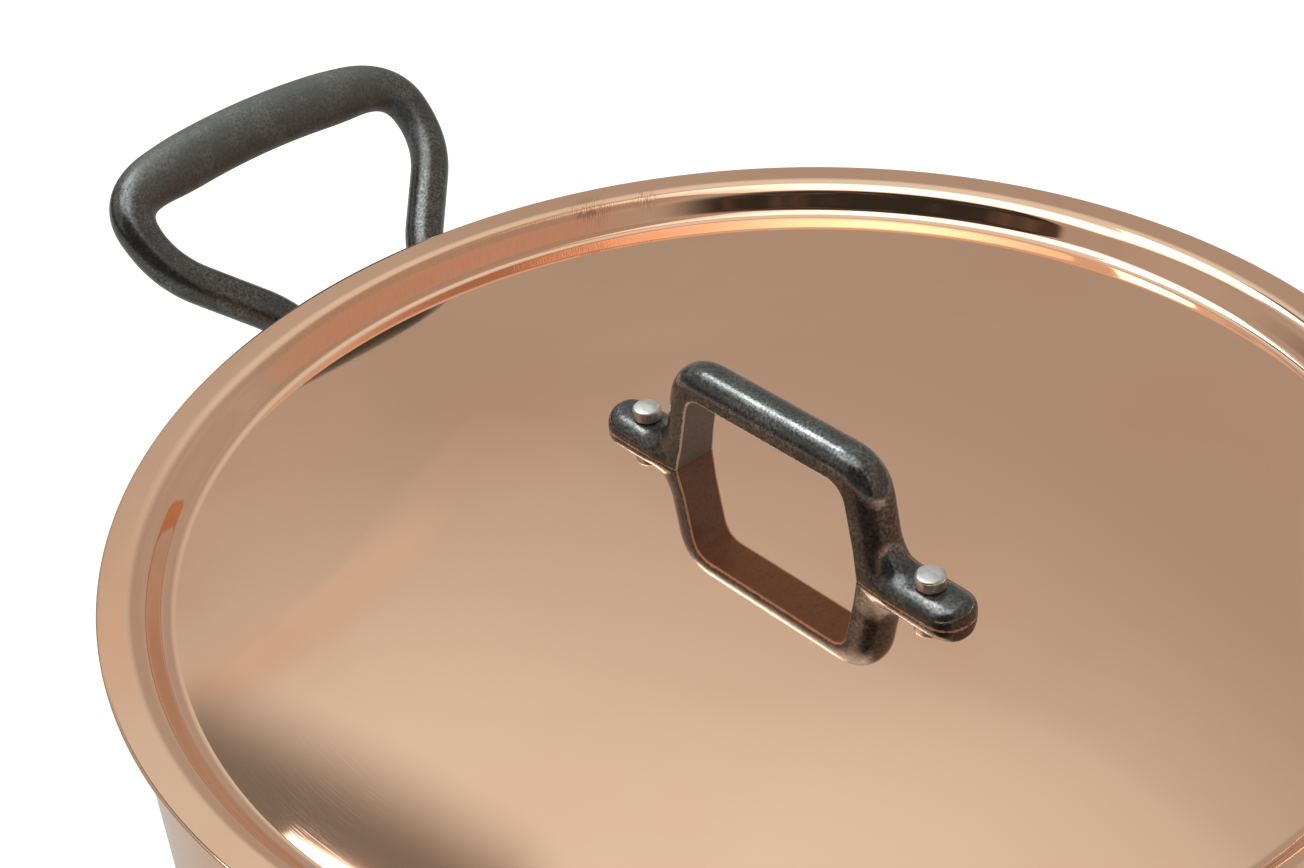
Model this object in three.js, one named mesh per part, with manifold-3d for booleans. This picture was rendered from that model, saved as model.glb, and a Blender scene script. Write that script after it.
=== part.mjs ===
// A covered braising pan: a straight-sided copper pan with a bonded steel lining, two cast-iron
// loop handles riveted to its wall, and a lid of the same two-layer sheet. The lid's rim steps
// down to a flat panel, which carries a small cast-iron handle on two rivets.
// Millimetres, +Z up. The origin is the centre of the pan's underside, and the loop handles
// stand on the X axis.

import * as THREE from 'three';
import { mergeVertices } from 'three/addons/utils/BufferGeometryUtils.js';
import Module from 'manifold-3d';

const wasm = await Module();
wasm.setup();

// Pan
const PAN_INNER_DIAMETER = 280;
const PAN_HEIGHT = 90;
const PAN_CORNER_RADIUS = 14;
const PAN_COPPER = 1.75;
const PAN_LINING = 0.2;

// Lid: flange, convex bend, sloping wall, concave bend, and a recessed panel that is flat in the
// middle and falls a little to its edge
const LID_OVERHANG = 4;
const LID_FLANGE_WIDTH = 5.5;
const LID_CONVEX_RADIUS = 5.6;
const LID_WALL_SLOPE = THREE.MathUtils.degToRad(59);
const LID_CONCAVE_RADIUS = 3.7;
const LID_RECESS = 5;
const LID_PANEL_FALL = 2.2;
const LID_FLAT_RADIUS = 58;
const LID_COPPER = 0.95;
const LID_LINING = 0.2;
const LID_TURN = THREE.MathUtils.degToRad(-2.6);

// Loop handle: its centre line lies in a plane that tilts up from the pan's wall. Distances along
// that plane are counted from the wall.
const LOOP_TILT = THREE.MathUtils.degToRad(42);
const LOOP_ROOT_DROP = 12;
const LOOP_WIDTH = 87;
const LOOP_ROOT_SPACING = 42;
const LOOP_ANKLE = 9.6;
const LOOP_KNEE = 36;
const LOOP_SHOULDER = 57.2;
const LOOP_BOW = 4.4;
const LOOP_ANKLE_BEND = 9;
const LOOP_KNEE_BEND = 10;
const LOOP_SHOULDER_BEND = 14;
const LOOP_CROWN_BEND = 28;
const GRIP_WIDTH = 15.1;
const GRIP_THICKNESS = 11.5;
const GRIP_LENGTH = 40;
const GRIP_TAPER = 36;
const LEG_DIAMETER = 10.2;
const LEG_FLARE = 2.4;
const LEG_FLARE_LENGTH = 9;

// Ear at the foot of each leg: one round lobe behind the leg and two round the rivets
const EAR_THICKNESS = 5;
const EAR_ROUND = 1.6;
const EAR_TOP_RADIUS = 8;
const EAR_LOBE_RADIUS = 7.5;
const EAR_RIVET_SPACING = 16;
const EAR_RIVET_DROP = 13.5;

// Lid handle: flat inner faces, round outer faces, oval feet
const BAIL_LENGTH = 107.6;
const BAIL_FOOT_LENGTH = 26;
const BAIL_RIVET_INSET = 10.5;
const BAIL_LEG_LEAN = 4.6;
const BAIL_CLEAR_HEIGHT = 22;
const BAIL_BAR_THICKNESS = 6;
const BAIL_BAR_WIDTH = 10;
const BAIL_LEG_THICKNESS = 6.3;
const BAIL_FOOT_THICKNESS = 4.2;
const BAIL_FOOT_WIDTH = 12;
const BAIL_FOOT_ROUND = 2.4;
const BAIL_HEEL_BEND = 7;
const BAIL_INNER_BEND = 4.5;
const BAIL_OUTER_BEND = 10;
const BAIL_ROUNDNESS = 2.3;

// Rivets: button end outside, low head inside
const SIDE_RIVET_SHANK = 5.5;
const SIDE_RIVET_BUTTON = 8.2;
const SIDE_RIVET_BUTTON_HEIGHT = 3.6;
const SIDE_RIVET_HEAD = 12;
const SIDE_RIVET_HEAD_HEIGHT = 2;
const LID_RIVET_SHANK = 4.4;
const LID_RIVET_BUTTON = 6.6;
const LID_RIVET_BUTTON_HEIGHT = 3.1;
const LID_RIVET_HEAD = 10;
const LID_RIVET_HEAD_HEIGHT = 1.6;
const BUTTON_EDGE = 0.9;
const BUTTON_CROWN = 0.4;
const HEAD_EDGE = 0.5;

// Bond between the two layers, clearances between pieces, the spot face under a button, and how
// far a drill runs past the faces it goes through
const BOND_LINE = 0.05;
const SEAT_GAP = 0.3;
const SHANK_GAP = 0.3;
const SPOT_MARGIN = 0.5;
const SPOT_DEPTH = 0.25;
const DRILL_RUN = 1;

// Facets
const ROUND_STEPS = 48;
const ARC_STEPS = 2;
const LOOP_STEPS = 44;
const LOOP_SIDES = 12;
const BEND_STEPS = 6;
const FOOT_STEPS = 5;
const BAIL_SIDES = 12;
const EAR_STEPS = 4;
const RIVET_STEPS = 10;
const WELD = 1e-4;

// Sizes that follow from the ones above
const PAN_INNER_RADIUS = PAN_INNER_DIAMETER / 2;
const PAN_WALL = PAN_COPPER + BOND_LINE + PAN_LINING;
const PAN_RADIUS = PAN_INNER_RADIUS + PAN_WALL;
const LID_RADIUS = PAN_RADIUS + LID_OVERHANG;
const LID_BEND_START = LID_RADIUS - LID_FLANGE_WIDTH;
const LID_SHEET = LID_COPPER + BOND_LINE + LID_LINING;
const LID_DEPTH = LID_RECESS + LID_PANEL_FALL;
const LID_BENDS = LID_CONVEX_RADIUS + LID_CONCAVE_RADIUS;
const LID_WALL_RUN =
  (LID_DEPTH - LID_BENDS * (1 - Math.cos(LID_WALL_SLOPE))) / Math.tan(LID_WALL_SLOPE);
const LID_PANEL_RADIUS = LID_BEND_START - LID_BENDS * Math.sin(LID_WALL_SLOPE) - LID_WALL_RUN;
const LID_EDGE_SLOPE = Math.atan((2 * LID_PANEL_FALL) / (LID_PANEL_RADIUS - LID_FLAT_RADIUS));
const FACET_SHRINK = Math.cos(Math.PI / ROUND_STEPS);
const LOOP_ROOT_HEIGHT = PAN_HEIGHT - LOOP_ROOT_DROP;
const EAR_AZIMUTH = Math.asin(LOOP_ROOT_SPACING / 2 / PAN_RADIUS);
const EAR_FACE = PAN_RADIUS + SEAT_GAP + EAR_THICKNESS;
const LOOP_CROWN = LOOP_SHOULDER + LOOP_BOW;
const BAIL_RIVET_PLACE = BAIL_LENGTH / 2 - BAIL_RIVET_INSET;
const BAIL_BASE_INSIDE = BAIL_LENGTH / 2 - BAIL_FOOT_LENGTH;
const BAIL_TOP_INSIDE = BAIL_BASE_INSIDE - BAIL_LEG_LEAN;

const COPPER = { color: 0xd99a77, roughness: 0.16, metalness: 1 };
const LINING_STEEL = { color: 0xc4c2be, roughness: 0.3, metalness: 1 };
const CAST_IRON = { color: 0x2f3030, roughness: 0.55, metalness: 0.6 };
const RIVET_STEEL = { color: 0x9a9a97, roughness: 0.35, metalness: 1 };

// Solids

function welded(geometry) {
  const bare = geometry.clone();
  bare.deleteAttribute('normal');
  bare.deleteAttribute('uv');
  const merged = mergeVertices(bare, WELD);
  const corners = merged.index.array;
  const kept = [];
  for (let i = 0; i < corners.length; i += 3) {
    const [a, b, c] = corners.slice(i, i + 3);
    if (a !== b && b !== c && c !== a) kept.push(a, b, c);
  }
  merged.setIndex(kept);
  return merged;
}

function solid(geometry) {
  const shell = welded(geometry);
  const mesh = new wasm.Mesh({
    numProp: 3,
    vertProperties: new Float32Array(shell.attributes.position.array),
    triVerts: new Uint32Array(shell.index.array),
  });
  return new wasm.Manifold(mesh);
}

function piece(name, body, look) {
  const { vertProperties, triVerts } = body.getMesh();
  const geometry = new THREE.BufferGeometry();
  geometry.setAttribute('position', new THREE.BufferAttribute(vertProperties, 3));
  geometry.setIndex(new THREE.BufferAttribute(triVerts, 1));
  geometry.computeVertexNormals();
  const mesh = new THREE.Mesh(geometry, new THREE.MeshStandardMaterial(look));
  mesh.name = name;
  return mesh;
}

// A profile of (radius, height) points turned round the Z axis, with the material on its left
function turned(profile, steps = ROUND_STEPS) {
  const lathe = new THREE.LatheGeometry(profile, steps);
  lathe.rotateX(Math.PI / 2);
  return solid(lathe);
}

// A round bar along Z from one height to another
function bar(radius, from, to, steps) {
  const cylinder = new THREE.CylinderGeometry(radius, radius, to - from, steps);
  cylinder.rotateX(Math.PI / 2);
  cylinder.translate(0, 0, (from + to) / 2);
  return cylinder;
}

// A skin through rings of equal count, closed by a fan at each end
function loft(rings) {
  const sides = rings[0].length;
  const points = rings.flat();
  const faces = [];
  for (let k = 0; k + 1 < rings.length; k++) {
    for (let j = 0; j < sides; j++) {
      const next = (j + 1) % sides;
      const [a, b] = [k * sides + j, k * sides + next];
      faces.push(a, b, a + sides, b, b + sides, a + sides);
    }
  }
  const close = (start, last) => {
    const ring = points.slice(start, start + sides);
    const middle = ring.reduce((sum, p) => sum.add(p), new THREE.Vector3()).divideScalar(sides);
    const hub = points.push(middle) - 1;
    for (let j = 0; j < sides; j++) {
      const edge = [start + j, start + ((j + 1) % sides)];
      faces.push(hub, ...(last ? edge : edge.reverse()));
    }
  };
  close(0, false);
  close((rings.length - 1) * sides, true);
  const geometry = new THREE.BufferGeometry().setFromPoints(points);
  geometry.setIndex(faces);
  return solid(geometry);
}

// Pan: the outer skin, or one that lies a given depth inside the sheet

function panSkin(depth) {
  const skin = new THREE.Path();
  const hub = PAN_RADIUS - PAN_CORNER_RADIUS;
  skin.moveTo(0, depth);
  skin.lineTo(hub, depth);
  skin.absarc(hub, PAN_CORNER_RADIUS, PAN_CORNER_RADIUS - depth, -Math.PI / 2, 0);
  skin.lineTo(PAN_RADIUS - depth, PAN_HEIGHT);
  return skin.getPoints(ARC_STEPS);
}

function panLayer(outerDepth, innerDepth) {
  const layer = turned([...panSkin(outerDepth), ...panSkin(innerDepth).reverse()]);
  return SIDES.reduce((body, side) => body.subtract(sideHoles(side.turn)), layer);
}

// Lid: its top is at height 0 on the flange, and the panel lies below it

function lidSkin(depth) {
  const skin = new THREE.Path();
  const middle = -LID_RECESS - depth;
  const concave = LID_CONCAVE_RADIUS + depth;
  const convex = LID_CONVEX_RADIUS - depth;
  const hub = LID_CONCAVE_RADIUS - LID_DEPTH;
  const up = Math.PI / 2;
  const edge = LID_PANEL_RADIUS - concave * Math.sin(LID_EDGE_SLOPE);
  const low = hub - concave * Math.cos(LID_EDGE_SLOPE);
  skin.moveTo(0, middle);
  skin.lineTo(LID_FLAT_RADIUS, middle);
  skin.quadraticCurveTo((LID_FLAT_RADIUS + edge) / 2, middle, edge, low);
  skin.absarc(LID_PANEL_RADIUS, hub, concave, -up - LID_EDGE_SLOPE, LID_WALL_SLOPE - up);
  skin.absarc(LID_BEND_START, -LID_CONVEX_RADIUS, convex, up + LID_WALL_SLOPE, up, true);
  skin.lineTo(LID_RADIUS, -depth);
  return skin.getPoints(ARC_STEPS);
}

function lidLayer(upperDepth, lowerDepth) {
  const layer = turned([...lidSkin(lowerDepth), ...lidSkin(upperDepth).reverse()]);
  const radius = LID_RIVET_SHANK / 2 + SHANK_GAP;
  return BAIL_ENDS.reduce((body, end) => {
    const hole = bar(radius, -LID_SHEET - DRILL_RUN, DRILL_RUN, RIVET_STEPS);
    hole.translate(end * BAIL_RIVET_PLACE, 0, -LID_RECESS);
    return body.subtract(solid(hole));
  }, layer);
}

// The sheet's underside bends down a little before it reaches the pan's inner edge, and rests there
function lidSeatDrop() {
  const inside = Math.max(0, LID_BEND_START - PAN_INNER_RADIUS * FACET_SHRINK);
  const radius = LID_CONVEX_RADIUS - LID_SHEET;
  return radius - Math.sqrt(radius ** 2 - inside ** 2);
}

// Rivet along Z: its button stands on height 0 and its head lies below -grip

function rivet(grip, size) {
  const shank = size.shank / 2;
  const button = size.button / 2;
  const head = size.head / 2;
  const top = size.buttonHeight;
  const brow = top - BUTTON_CROWN;
  const under = -grip - SEAT_GAP;
  const low = under - size.headHeight;
  const profile = new THREE.Path();
  profile.moveTo(0, low);
  profile.quadraticCurveTo(head, low, head, under - HEAD_EDGE);
  profile.lineTo(head, under);
  profile.lineTo(shank, under);
  profile.lineTo(shank, SEAT_GAP);
  profile.lineTo(button, SEAT_GAP);
  profile.lineTo(button, brow - BUTTON_EDGE);
  profile.quadraticCurveTo(button, brow, button - BUTTON_EDGE, brow);
  profile.lineTo(0, top);
  return turned(profile.getPoints(ARC_STEPS), RIVET_STEPS);
}

const SIDE_RIVET = {
  shank: SIDE_RIVET_SHANK,
  button: SIDE_RIVET_BUTTON,
  buttonHeight: SIDE_RIVET_BUTTON_HEIGHT,
  head: SIDE_RIVET_HEAD,
  headHeight: SIDE_RIVET_HEAD_HEIGHT,
};
const LID_RIVET = {
  shank: LID_RIVET_SHANK,
  button: LID_RIVET_BUTTON,
  buttonHeight: LID_RIVET_BUTTON_HEIGHT,
  head: LID_RIVET_HEAD,
  headHeight: LID_RIVET_HEAD_HEIGHT,
};

// Loop handle, made for the +X side

const SIDES = [
  { name: 'right', turn: 0 },
  { name: 'left', turn: Math.PI },
];
const LEGS = [-1, 1];
const LOBES = [-1, 1];

// Frame of an ear: X round the wall, Y up, Z out of the wall, at the height of the leg's root
function earFrame(leg) {
  const azimuth = leg * EAR_AZIMUTH;
  const out = new THREE.Vector3(Math.cos(azimuth), Math.sin(azimuth), 0);
  const up = new THREE.Vector3(0, 0, 1);
  const along = new THREE.Vector3().crossVectors(up, out);
  return new THREE.Matrix4().makeBasis(along, up, out).setPosition(0, 0, LOOP_ROOT_HEIGHT);
}

function rivetFrame(leg, lobe, height) {
  const place = new THREE.Matrix4().makeTranslation(
    (lobe * EAR_RIVET_SPACING) / 2,
    -EAR_RIVET_DROP,
    height,
  );
  return earFrame(leg).multiply(place);
}

// Distance from the pan's axis to the plane that an inside head rests on
function insideSeat() {
  const reach = EAR_RIVET_SPACING / 2 + SIDE_RIVET.head / 2;
  return Math.sqrt((PAN_INNER_RADIUS * FACET_SHRINK) ** 2 - reach ** 2);
}

function sideHoles(turn) {
  const radius = SIDE_RIVET.shank / 2 + SHANK_GAP;
  const round = new THREE.Matrix4().makeRotationZ(turn);
  const holes = LEGS.flatMap((leg) => LOBES.map((lobe) => {
    const hole = bar(radius, insideSeat() - DRILL_RUN, EAR_FACE + DRILL_RUN, RIVET_STEPS);
    return solid(hole.applyMatrix4(rivetFrame(leg, lobe, 0)).applyMatrix4(round));
  }));
  return holes.reduce((all, hole) => all.add(hole));
}

// Straight runs joined by parabolic bends. A bend starts at its reach from the corner, or at half
// of the run where that is shorter.
function bentPath(corners) {
  const path = new THREE.CurvePath();
  const towards = (corner, other, reach) => {
    const run = other.clone().sub(corner);
    return run.setLength(Math.min(reach, run.length() / 2)).add(corner);
  };
  let from = corners[0].point;
  for (let i = 1; i + 1 < corners.length; i++) {
    const { point, bend } = corners[i];
    const enter = towards(point, corners[i - 1].point, bend);
    const leave = towards(point, corners[i + 1].point, bend);
    path.add(new THREE.LineCurve3(from, enter));
    path.add(new THREE.QuadraticBezierCurve3(enter, point, leave));
    from = leave;
  }
  path.add(new THREE.LineCurve3(from, corners.at(-1).point));
  return path;
}

function loopCentreLine() {
  const place = (across, along) => new THREE.Vector3(
    PAN_RADIUS + along * Math.cos(LOOP_TILT),
    across,
    LOOP_ROOT_HEIGHT + along * Math.sin(LOOP_TILT),
  );
  const half = (side) => [
    { point: place((side * LOOP_ROOT_SPACING) / 2, -EAR_THICKNESS) },
    { point: place((side * LOOP_ROOT_SPACING) / 2, LOOP_ANKLE), bend: LOOP_ANKLE_BEND },
    { point: place((side * LOOP_WIDTH) / 2, LOOP_KNEE), bend: LOOP_KNEE_BEND },
    { point: place((side * LOOP_WIDTH) / 2, LOOP_SHOULDER), bend: LOOP_SHOULDER_BEND },
  ];
  const crown = { point: place(0, LOOP_CROWN), bend: LOOP_CROWN_BEND };
  return bentPath([...half(-1), crown, ...half(1).reverse()]);
}

function loop() {
  const path = loopCentreLine();
  const length = path.getLength();
  const face = new THREE.Vector3(-Math.sin(LOOP_TILT), 0, Math.cos(LOOP_TILT));
  const { lerp, smoothstep } = THREE.MathUtils;
  const rings = [];
  for (let k = 0; k <= LOOP_STEPS; k++) {
    const centre = path.getPointAt(k / LOOP_STEPS);
    const side = new THREE.Vector3().crossVectors(face, path.getTangentAt(k / LOOP_STEPS)).normalize();
    const fromCrown = Math.abs(k / LOOP_STEPS - 0.5) * length;
    const slim = smoothstep(fromCrown, GRIP_LENGTH / 2, GRIP_LENGTH / 2 + GRIP_TAPER);
    const root = length / 2 - EAR_THICKNESS;
    const flare = LEG_FLARE * smoothstep(fromCrown, root - LEG_FLARE_LENGTH, root) ** 2;
    const wide = lerp(GRIP_WIDTH, LEG_DIAMETER, slim) / 2 + flare;
    const thick = lerp(GRIP_THICKNESS, LEG_DIAMETER, slim) / 2 + flare;
    const ring = [];
    for (let j = 0; j < LOOP_SIDES; j++) {
      const angle = (2 * Math.PI * j) / LOOP_SIDES;
      const out = side.clone().multiplyScalar(wide * Math.cos(angle));
      ring.push(out.addScaledVector(face, thick * Math.sin(angle)).add(centre));
    }
    rings.push(ring);
  }
  return loft(rings);
}

// Outline of an ear: a lobe behind the leg and a lobe round each rivet, joined by tangents
function earOutline() {
  const out = EAR_RIVET_SPACING / 2;
  const lean = Math.atan2(EAR_RIVET_DROP, -out);
  const slope = Math.acos((EAR_LOBE_RADIUS - EAR_TOP_RADIUS) / Math.hypot(out, EAR_RIVET_DROP));
  const tangent = lean - slope;
  const down = 1.5 * Math.PI;
  const outline = new THREE.Shape();
  outline.absarc(0, 0, EAR_TOP_RADIUS, tangent, Math.PI - tangent);
  outline.absarc(-out, -EAR_RIVET_DROP, EAR_LOBE_RADIUS, Math.PI - tangent, down);
  outline.absarc(out, -EAR_RIVET_DROP, EAR_LOBE_RADIUS, down, 2 * Math.PI + tangent);
  return outline;
}

function ear(leg) {
  const block = new THREE.ExtrudeGeometry(earOutline(), {
    depth: EAR_THICKNESS,
    curveSegments: EAR_STEPS,
    bevelThickness: EAR_ROUND,
    bevelSize: EAR_ROUND,
    bevelOffset: -EAR_ROUND,
    bevelSegments: ARC_STEPS,
  });
  block.translate(0, 0, EAR_FACE - EAR_THICKNESS - EAR_ROUND);
  return solid(block.applyMatrix4(earFrame(leg)));
}

function sideHandle() {
  const wall = solid(bar(PAN_RADIUS + SEAT_GAP, 0, PAN_HEIGHT + LOOP_CROWN, ROUND_STEPS));
  const casting = LEGS.reduce((body, leg) => body.add(ear(leg)), loop());
  return casting.subtract(wall).subtract(sideHoles(0));
}

function sideGroup({ name, turn }) {
  const group = new THREE.Group();
  group.rotation.z = turn;
  group.add(piece(`side_handle_${name}`, sideHandle(), CAST_IRON));
  const grip = EAR_FACE - insideSeat();
  let count = 0;
  for (const leg of LEGS) {
    for (const lobe of LOBES) {
      count += 1;
      const mesh = piece(`side_rivet_${name}_${count}`, rivet(grip, SIDE_RIVET), RIVET_STEEL);
      mesh.applyMatrix4(rivetFrame(leg, lobe, EAR_FACE));
      group.add(mesh);
    }
  }
  return group;
}

// Lid handle: pairs of an inner and an outer point run from one foot to the other, and a flat-backed
// round section stands on each pair

const BAIL_ENDS = [-1, 1];

// Points round a corner: a parabola, or the two straight runs where the corner is crisp
function corner(before, point, after, reach, crisp) {
  const enter = before.clone().sub(point).setLength(reach).add(point);
  const leave = after.clone().sub(point).setLength(reach).add(point);
  const bend = crisp
    ? (t) => (t < 0.5 ? enter.clone().lerp(point, 2 * t) : point.clone().lerp(leave, 2 * t - 1))
    : (t) => new THREE.QuadraticBezierCurve(enter, point, leave).getPoint(t);
  return Array.from({ length: BEND_STEPS + 1 }, (_, k) => bend(k / BEND_STEPS));
}

// Half of the handle's side view: inner and outer points with a section's half width
function bailStations() {
  const at = (u, z) => new THREE.Vector2(u, z);
  const tip = BAIL_LENGTH / 2;
  const top = BAIL_CLEAR_HEIGHT + BAIL_BAR_THICKNESS;
  const inner = [
    at(tip, 0),
    at(BAIL_BASE_INSIDE, 0),
    at(BAIL_TOP_INSIDE, BAIL_CLEAR_HEIGHT),
    at(0, BAIL_CLEAR_HEIGHT),
  ];
  const outer = [
    at(tip, BAIL_FOOT_THICKNESS),
    at(BAIL_BASE_INSIDE + BAIL_LEG_THICKNESS, BAIL_FOOT_THICKNESS),
    at(BAIL_TOP_INSIDE + BAIL_LEG_THICKNESS, top),
    at(0, top),
  ];
  const heelIn = corner(inner[0], inner[1], inner[2], BAIL_HEEL_BEND, true);
  const heelOut = corner(outer[0], outer[1], outer[2], BAIL_HEEL_BEND, false);
  const crownIn = corner(inner[1], inner[2], inner[3], BAIL_INNER_BEND, false);
  const crownOut = corner(outer[1], outer[2], outer[3], BAIL_OUTER_BEND, false);
  const wide = BAIL_FOOT_WIDTH / 2;
  const slim = BAIL_BAR_WIDTH / 2;
  const stations = [];
  for (let k = 1; k <= FOOT_STEPS; k++) {
    const angle = (Math.PI / 2) * (1 - k / FOOT_STEPS);
    const u = tip - wide + wide * Math.sin(angle);
    const rise = Math.max(0, BAIL_FOOT_ROUND - (tip - u)) / BAIL_FOOT_ROUND;
    const drop = BAIL_FOOT_ROUND * (1 - Math.sqrt(1 - rise ** 2));
    const height = BAIL_FOOT_THICKNESS - drop;
    stations.push({ inner: at(u, 0), outer: at(u, height), half: wide * Math.cos(angle) });
  }
  heelIn.forEach((point, k) => {
    const half = THREE.MathUtils.lerp(wide, slim, k / BEND_STEPS);
    stations.push({ inner: point, outer: heelOut[k], half });
  });
  crownIn.forEach((point, k) => stations.push({ inner: point, outer: crownOut[k], half: slim }));
  return stations;
}

function bailRing({ inner, outer, half }, end) {
  const ring = [];
  for (let j = 0; j <= BAIL_SIDES; j++) {
    const angle = (Math.PI * j) / BAIL_SIDES;
    const across = Math.sign(Math.cos(angle)) * Math.abs(Math.cos(angle)) ** (2 / BAIL_ROUNDNESS);
    const rise = Math.sin(angle) ** (2 / BAIL_ROUNDNESS);
    const point = inner.clone().lerp(outer, rise);
    ring.push(new THREE.Vector3(end * point.x, half * across, point.y));
  }
  return ring;
}

function bail() {
  const stations = bailStations();
  const left = stations.map((station) => bailRing(station, -1));
  const right = stations.map((station) => bailRing(station, 1)).reverse();
  let casting = loft([...left, ...right]);
  const face = BAIL_FOOT_THICKNESS - SPOT_DEPTH;
  const clear = BAIL_FOOT_THICKNESS + LID_RIVET.buttonHeight;
  for (const end of BAIL_ENDS) {
    const spot = bar(LID_RIVET.button / 2 + SPOT_MARGIN, face, clear, RIVET_STEPS);
    const hole = bar(LID_RIVET.shank / 2 + SHANK_GAP, -DRILL_RUN, clear, RIVET_STEPS);
    casting = casting.subtract(solid(spot.translate(end * BAIL_RIVET_PLACE, 0, 0)));
    casting = casting.subtract(solid(hole.translate(end * BAIL_RIVET_PLACE, 0, 0)));
  }
  return casting;
}

function lidGroup() {
  const group = new THREE.Group();
  group.position.z = PAN_HEIGHT + SEAT_GAP + lidSeatDrop() + LID_SHEET;
  group.rotation.z = LID_TURN;
  group.add(piece('lid_shell', lidLayer(0, LID_COPPER), COPPER));
  group.add(piece('lid_lining', lidLayer(LID_COPPER + BOND_LINE, LID_SHEET), LINING_STEEL));
  const handle = piece('lid_handle', bail(), CAST_IRON);
  handle.position.z = -LID_RECESS + SEAT_GAP;
  group.add(handle);
  const face = SEAT_GAP + BAIL_FOOT_THICKNESS - SPOT_DEPTH;
  BAIL_ENDS.forEach((end, k) => {
    const mesh = piece(`lid_rivet_${k + 1}`, rivet(face + LID_SHEET, LID_RIVET), RIVET_STEEL);
    mesh.position.set(end * BAIL_RIVET_PLACE, 0, -LID_RECESS + face);
    group.add(mesh);
  });
  return group;
}

const pan = new THREE.Group();
pan.add(piece('pan_body', panLayer(0, PAN_COPPER), COPPER));
pan.add(piece('pan_lining', panLayer(PAN_COPPER + BOND_LINE, PAN_WALL), LINING_STEEL));
SIDES.forEach((side) => pan.add(sideGroup(side)));
pan.add(lidGroup());

export default pan;
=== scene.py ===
# %% [markdown]
# # A covered braising pan
# A wide, straight-sided copper pan stands on a pale floor. Its lid is spun from copper sheet too,
# with a flat edge that steps down to a bright recessed panel. Two cast-iron loops are riveted to
# the wall and a small handle to the lid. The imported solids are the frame: every surface made below
# lies where its solid lies, with finer faces and finished materials.

# %% Load the frame
import math

import bmesh
import bpy
import numpy as np
from mathutils import Matrix, Vector


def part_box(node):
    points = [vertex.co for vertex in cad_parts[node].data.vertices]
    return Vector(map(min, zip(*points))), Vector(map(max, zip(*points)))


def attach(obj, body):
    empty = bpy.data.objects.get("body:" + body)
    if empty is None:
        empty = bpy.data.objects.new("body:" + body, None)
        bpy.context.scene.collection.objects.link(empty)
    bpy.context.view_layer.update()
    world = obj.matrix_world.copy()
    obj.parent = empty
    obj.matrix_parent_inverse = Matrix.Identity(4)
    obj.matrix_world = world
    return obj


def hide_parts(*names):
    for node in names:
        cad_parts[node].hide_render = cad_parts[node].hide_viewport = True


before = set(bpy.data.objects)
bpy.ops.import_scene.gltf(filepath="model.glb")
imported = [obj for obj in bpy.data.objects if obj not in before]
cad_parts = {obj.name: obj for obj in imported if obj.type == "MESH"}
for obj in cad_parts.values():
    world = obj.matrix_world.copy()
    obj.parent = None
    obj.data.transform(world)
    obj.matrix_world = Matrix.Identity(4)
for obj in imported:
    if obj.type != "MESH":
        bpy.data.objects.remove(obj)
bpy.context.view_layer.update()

# %% [markdown]
# ## Camera
# The photograph looks down on the lid from the front right. The round edge of the lid is an
# ellipse in the picture, and its shape and place give the camera's place, turn and lens. A camera
# is a matrix: its columns are the directions to the right, up and backwards, so those directions
# are written down and made square to each other.

# %% Camera
CAMERA_PLACE = Vector((0.25827, -0.26652, 0.37234))
CAMERA_RIGHT = Vector((0.6973, 0.7140, -0.0622))
CAMERA_FORWARD = Vector((-0.6082, 0.5435, -0.5785))
CAMERA_LENS = 59.52
SENSOR_WIDTH = 36.0

forward = CAMERA_FORWARD.normalized()
upward = CAMERA_RIGHT.cross(forward).normalized()
rightward = forward.cross(upward)
turn = Matrix((rightward, upward, -forward)).transposed().to_4x4()

camera = bpy.data.objects.new("camera", bpy.data.cameras.new("camera"))
camera.data.lens = CAMERA_LENS
camera.data.sensor_width = SENSOR_WIDTH
camera.data.sensor_fit = "HORIZONTAL"
camera.matrix_world = Matrix.Translation(CAMERA_PLACE) @ turn
scene = bpy.context.scene
scene.collection.objects.link(camera)
scene.camera = camera
print("camera looks down by", round(math.degrees(math.asin(-forward.z)), 1), "degrees")

# %% [markdown]
# ## Surfaces from grids
# Nearly every piece here is a closed skin on a grid: a row is one closed ring, and the rows follow
# each other along a profile or a path. The first and last row shrink to a point. Screw and curve
# bevels could make these too, but a grid worked out with numpy says exactly where each ring lies,
# and its rings can crowd together in a bend.

# %% From a grid of points to a mesh
MM = 0.001
MERGE = 1e-7


def ring_faces(rows, columns):
    """Corners of each face: a point, the next in its ring, and the same two in the next ring."""
    row, column = np.meshgrid(np.arange(rows - 1), np.arange(columns), indexing="ij")
    beside = (column + 1) % columns
    low, high = row * columns, (row + 1) * columns
    return np.stack([low + column, low + beside, high + beside, high + column], -1).reshape(-1, 4)


def volume(points, faces):
    """Signed volume: a sixth of the sum of the triple products of each face's two triangles."""
    a, b, c, d = (points[faces[:, k]] for k in range(4))
    return (a * (np.cross(b, c) + np.cross(c, d))).sum() / 6


SHARP_ANGLE = math.radians(38)


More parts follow.
